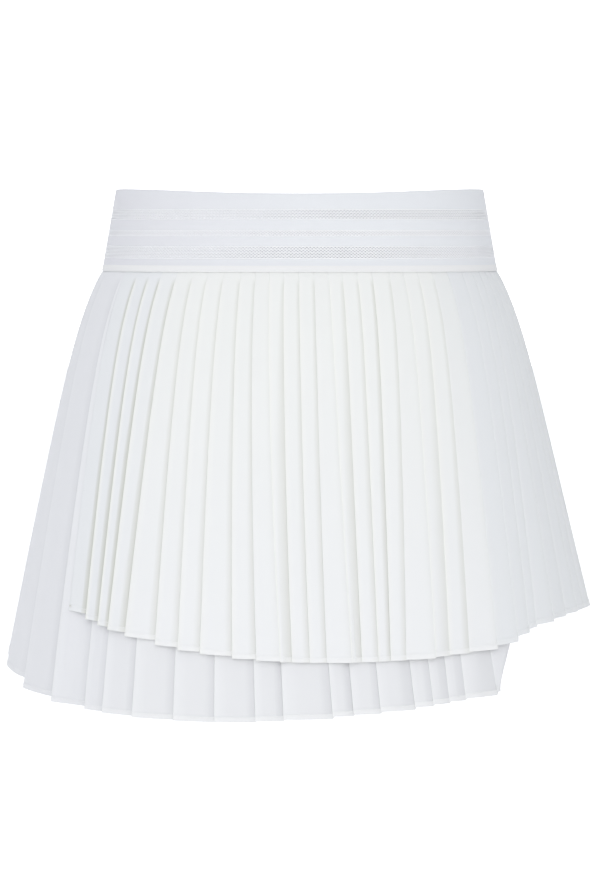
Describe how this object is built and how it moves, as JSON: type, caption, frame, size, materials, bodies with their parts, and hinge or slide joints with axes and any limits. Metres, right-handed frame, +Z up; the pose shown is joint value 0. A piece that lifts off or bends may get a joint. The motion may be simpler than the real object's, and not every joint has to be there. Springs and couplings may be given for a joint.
{
  "type": "tennis skirt",
  "caption": "Short pleated wrap skirt in its hollow worn form: fine knife pleats below a wide elastic waistband with openwork stripes, a shorter front panel lapped over a longer one.",
  "frame": {"origin": "the middle of the waistband ring, half way up the band, where the wearer's waist holds the skirt", "axes": "+Z up, -Y is the skirt's front, +X is on the right of someone who looks at the front"},
  "size_m": [0.4163, 0.3331, 0.3605],
  "materials": {
    "elastic": "matt knitted elastic, white",
    "pleated_cloth": "matt, smooth woven polyester, white, with pressed pleats"
  },
  "bodies": {
    "root": {"waistband": "elastic", "front_over_panel": "pleated_cloth", "front_under_panel": "pleated_cloth", "back_panel": "pleated_cloth"}
  },
  "joints": []
}
